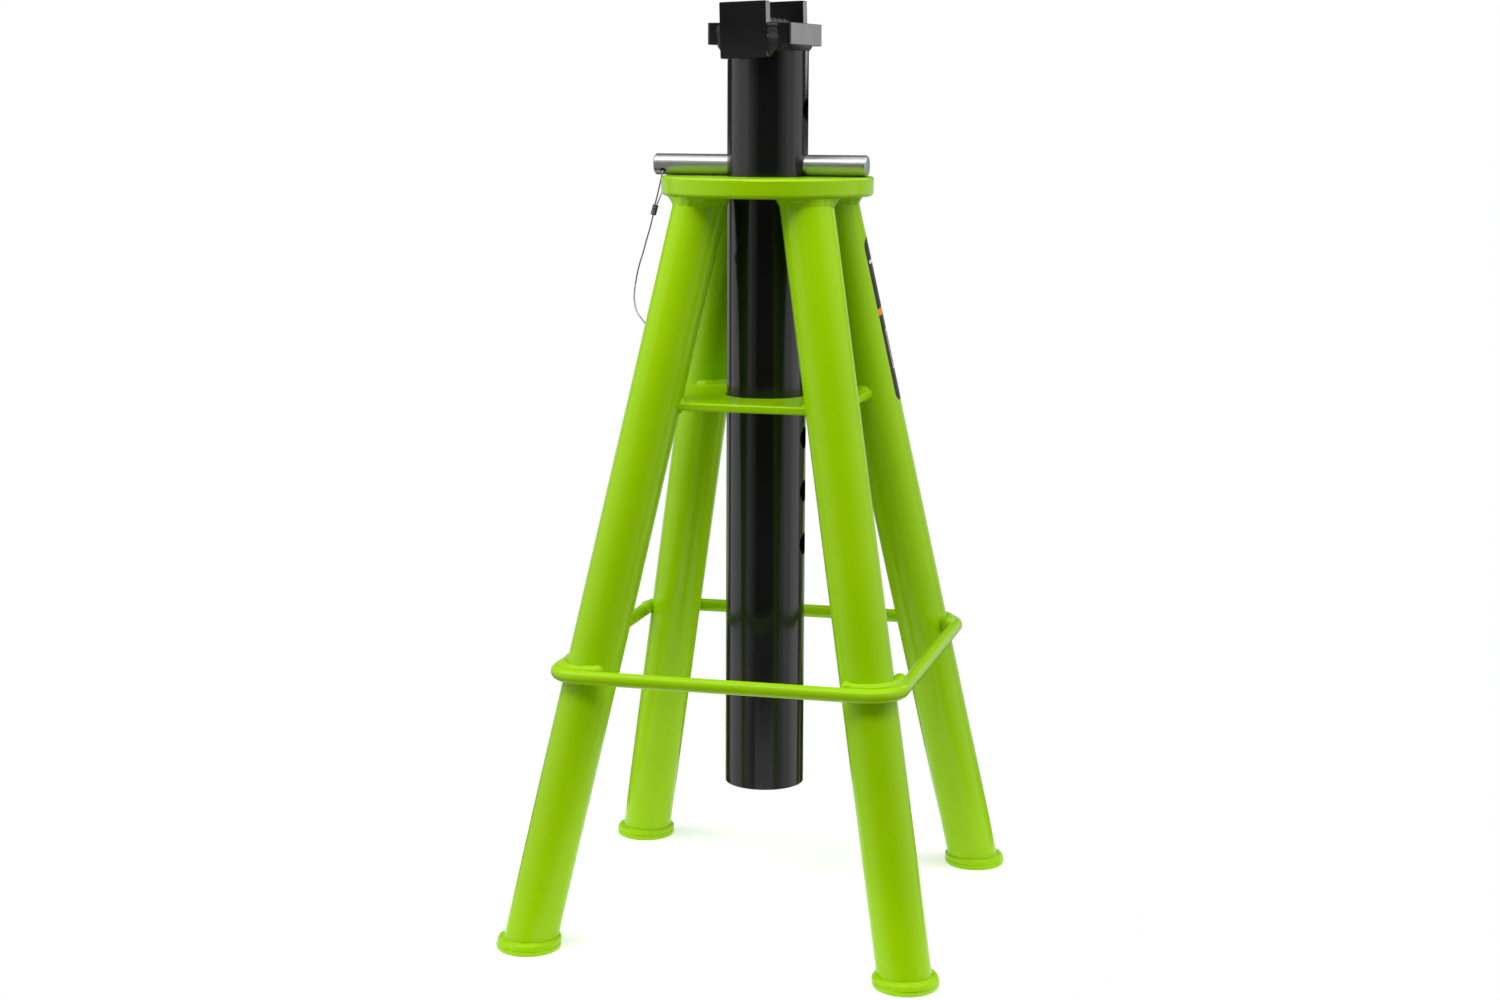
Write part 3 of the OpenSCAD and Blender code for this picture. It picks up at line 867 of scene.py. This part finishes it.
def ear_foot_bead(rear, start, end, seed):
    """Fillet on the block's top along an ear's inner face, in the head's axes."""
    turn = HEAD.to_3x3()
    side = 1 if rear else -1
    stations = []
    steps = 80
    for i in range(steps + 1):
        x = start + (end - start) * i / steps
        root = HEAD @ Vector((x, side * BLOCK_HALF, BLOCK_TOP))
        stations.append((root, turn @ Vector((0, -side, 0)), Vector((0, 0, 1)),
                         FOOT_BEAD_A, FOOT_BEAD_B, 0.3 * MM))
    return weld_skin(stations, False, 4.6 * MM, 0.7 * MM, 0.3, seed, taper=3 * MM)


def make_welds():
    """All the weld beads: four green pieces on the frame and a black one on the head."""
    for name, skin, node in (
        ("leg_top_weld_beads", leg_top_beads(), "leg_top_welds"),
        ("foot_weld_beads", foot_beads(), "foot_welds"),
        ("guide_plate_weld_beads", guide_beads(), "guide_plate_welds"),
        ("ring_weld_beads", ring_beads(), "ring_welds"),
    ):
        piece(name, *skin, GREEN, "frame", "green_paint", [node])
    parts = [neck_bead()]
    for rear in (0, 1):
        for side in (-1, 1):
            parts.append(ear_side_bead(rear, side, 51 + 2 * rear + side))
    for rear, (start, end) in enumerate(FOOT_BEAD_SPANS):
        parts.append(ear_foot_bead(rear, start, end, 71 + 2 * rear))
    piece("saddle_weld_beads", *merged(parts), BLACK_WELD, "ram", "black_paint", ["saddle_welds"])


make_ring()
make_welds()

# ---------------------------------------------------------------- rounded plate edges
SHARP = math.radians(50)
PLATE_ROUND = 1.6 * MM
BLOCK_ROUND = 0.7 * MM


def rounded(node, name, material, body, slot, radius, segments=4):
    """A copy of a CAD node with its sharp edges rounded, in the node's place."""
    source = frame["nodes"][node]
    mesh = source.data.copy()
    mesh.name = name
    work = bmesh.new()
    work.from_mesh(mesh)
    work.transform(source.matrix_world)
    bmesh.ops.remove_doubles(work, verts=work.verts, dist=1e-6)
    bmesh.ops.dissolve_limit(work, angle_limit=math.radians(0.5), verts=work.verts,
                             edges=work.edges)
    sharp = [e for e in work.edges if len(e.link_faces) == 2 and e.calc_face_angle() > SHARP]
    bmesh.ops.bevel(work, geom=sharp, offset=radius, offset_type="OFFSET", segments=segments,
                    profile=0.5, affect="EDGES", clamp_overlap=True)
    verts = [v.co.copy() for v in work.verts]
    work.verts.index_update()
    faces = [tuple(v.index for v in f.verts) for f in work.faces]
    work.free()
    bpy.data.meshes.remove(mesh)
    made = piece(name, verts, faces, material, body, slot, [node])
    normals = [Vector((0, 0, 0)) for _ in made.data.vertices]
    for polygon in made.data.polygons:
        for index in polygon.vertices:
            normals[index] += polygon.normal * polygon.area
    made.data.normals_split_custom_set_from_vertices([n.normalized() for n in normals])


rounded("guide_plate", "guide_plate_rounded", GREEN, "frame", "green_paint", PLATE_ROUND)
rounded("saddle_block", "saddle_block_rounded", BLACK, "ram", "black_paint", BLOCK_ROUND, 3)

# ---------------------------------------------------------------- label
LABEL_CORNER = 10 * MM
LABEL_ROWS = 80
LABEL_COLUMNS = 48


def make_label():
    """Thin film wrapped half round the back right leg, with rounded corners."""
    axes = leg_axes(CORNERS["back_right"])
    low = LABEL_LOW / math.cos(TILT)
    high = LABEL_HIGH / math.cos(TILT)
    verts, film = [], []
    for i in range(LABEL_ROWS + 1):
        up = i / LABEL_ROWS
        h = low + (high - low) * up
        end = min(h - low, high - h)
        short = max(0.0, 1 - end / LABEL_CORNER)
        pull = LABEL_CORNER * (1 - math.sqrt(1 - short ** 2)) / LEG_R
        half = LABEL_SWEEP / 2 - pull
        for k in range(LABEL_COLUMNS + 1):
            angle = half * (2 * k / LABEL_COLUMNS - 1)
            edge = i in (0, LABEL_ROWS) or k in (0, LABEL_COLUMNS)
            r = LEG_R + (0.02 * MM if edge else LABEL_T)
            verts.append(axes @ Vector((r * math.cos(angle), r * math.sin(angle), h)))
            film.append((0.5 + angle / LABEL_SWEEP, up))
    faces = []
    wide = LABEL_COLUMNS + 1
    for i in range(LABEL_ROWS):
        for k in range(LABEL_COLUMNS):
            a = i * wide + k
            faces.append((a, a + 1, a + 1 + wide, a + wide))
    made = piece("label_film_sheet", verts, faces, FILM, "frame", "label_film", ["label"])
    layer = made.data.uv_layers.new(name="film")
    for loop in made.data.loops:
        layer.data[loop.index].uv = film[loop.vertex_index]


make_label()

# ---------------------------------------------------------------- floor and light
FLOOR_R = 0.37
FLOOR_RINGS = 24
FLOOR_SIDES = 96
FLOOR_GLOW = 0.35
WORLD_SEEN = 1.0
WORLD_LIGHT = 0.06


def make_floor():
    """A round pale floor under the feet; it glows a little, so shadows on it stay faint."""
    verts = [(0, 0, 0)]
    faces = []
    for i in range(1, FLOOR_RINGS + 1):
        r = FLOOR_R * i / FLOOR_RINGS
        for k in range(FLOOR_SIDES):
            a = 2 * math.pi * k / FLOOR_SIDES
            verts.append((r * math.cos(a), r * math.sin(a), 0))
        for k in range(FLOOR_SIDES):
            k2 = (k + 1) % FLOOR_SIDES
            one, two = 1 + (i - 1) * FLOOR_SIDES + k, 1 + (i - 1) * FLOOR_SIDES + k2
            if i == 1:
                faces.append((0, one, two))
            else:
                faces.append((one - FLOOR_SIDES, one, two, two - FLOOR_SIDES))
    mesh = bpy.data.meshes.new("floor")
    mesh.from_pydata(verts, [], faces)
    n = Nodes("pale_floor")
    colour = n.ramp(n.noise(3, 3), [(0.3, (0.86, 0.86, 0.86)), (0.7, (0.88, 0.88, 0.88))])
    n.join(colour, n.shader.inputs["Base Color"])
    n.set(Roughness=0.9, IOR=1.1, Emission_Color=(1, 1, 1, 1), Emission_Strength=FLOOR_GLOW)
    mesh.materials.append(n.material)
    floor = bpy.data.objects.new("floor", mesh)
    bpy.context.scene.collection.objects.link(floor)


def make_light(name, azimuth, distance, height, size, radiance, aim_z=None):
    """A soft box at an angle from the camera's direction, aimed at the ram's axis."""
    angle = CAMERA_TURN - math.pi / 2 + math.radians(azimuth)
    place = Vector((math.cos(angle) * distance, math.sin(angle) * distance, height))
    data = bpy.data.lights.new(name, "AREA")
    data.shape = "RECTANGLE"
    data.size, data.size_y = size
    data.energy = math.pi * size[0] * size[1] * radiance
    light = bpy.data.objects.new(name, data)
    light.location = place
    target = Vector((0, 0, height if aim_z is None else aim_z))
    light.rotation_euler = (target - place).to_track_quat("-Z", "Y").to_euler()
    light.visible_camera = False
    bpy.context.scene.collection.objects.link(light)


def make_wall(name, start, end, distance, low, high, radiance):
    """An upright soft box between two angles from the camera's direction."""
    half = math.radians(abs(end - start) / 2)
    size = (2 * distance * math.tan(half), high - low)
    make_light(name, (start + end) / 2, distance, (low + high) / 2, size, radiance)


def make_world(seen, ambient):
    """White behind everything for the camera, and a dim room for the light."""
    world = bpy.data.worlds.new("studio")
    bpy.context.scene.world = world
    world.use_nodes = True
    nodes, links = world.node_tree.nodes, world.node_tree.links
    room = nodes["Background"]
    room.inputs["Color"].default_value = (1, 1, 1, 1)
    room.inputs["Strength"].default_value = ambient
    white = nodes.new("ShaderNodeBackground")
    white.inputs["Color"].default_value = (1, 1, 1, 1)
    white.inputs["Strength"].default_value = seen
    choose = nodes.new("ShaderNodeMixShader")
    links.new(nodes.new("ShaderNodeLightPath").outputs["Is Camera Ray"], choose.inputs["Fac"])
    links.new(room.outputs["Background"], choose.inputs[1])
    links.new(white.outputs["Background"], choose.inputs[2])
    links.new(choose.outputs["Shader"], nodes["World Output"].inputs["Surface"])


make_floor()
# Name, from and to in degrees from the camera, distance, low and high in metres, radiance
WALLS = (
    ("left_inner", -42, -30, 1.6, -0.4, 0.86, 0.22),
    ("left_middle", -56, -42, 1.6, -0.4, 0.86, 0.52),
    ("left_wall", -123, -56, 1.5, -0.4, 1.7, 0.95),
    ("right_inner", 29, 40, 1.6, -0.4, 1.7, 0.2),
    ("right_middle", 40, 54, 1.6, -0.4, 1.7, 0.47),
    ("right_near", 54, 78, 1.55, -0.4, 1.7, 0.8),
    ("right_wall", 78, 111, 1.5, -0.4, 1.7, 1.15),
    ("front_low", -28, 28, 1.5, -0.65, -0.22, 0.8),
)
# Name, degrees from the camera, distance, height, size in metres, radiance, height aimed at
LAMPS = (
    ("back_wall", 172, 2.0, 0.19, (5.2, 0.98), 0.6, None),
    ("head_strip", 137, 2.0, 1.42, (0.45, 1.2), 2.0, None),
    ("front_fill", -30, 1.6, 1.35, (0.5, 0.5), 0.55, 0.7),
    ("top_box", 0, 0.35, 2.3, (2.0, 1.9), 1.5, 0),
    ("key_above", -12, 1.15, 2.2, (1.3, 0.5), 6.5, 0.4),
    ("left_high", -80, 1.3, 1.95, (1.6, 1.2), 3.3, 0.4),
    ("right_high", 75, 1.3, 1.95, (1.6, 1.2), 2.6, 0.4),
)
for wall in WALLS:
    make_wall(*wall)
for lamp in LAMPS:
    make_light(*lamp)
make_world(WORLD_SEEN, WORLD_LIGHT)
bpy.context.scene.view_settings.view_transform = "Standard"
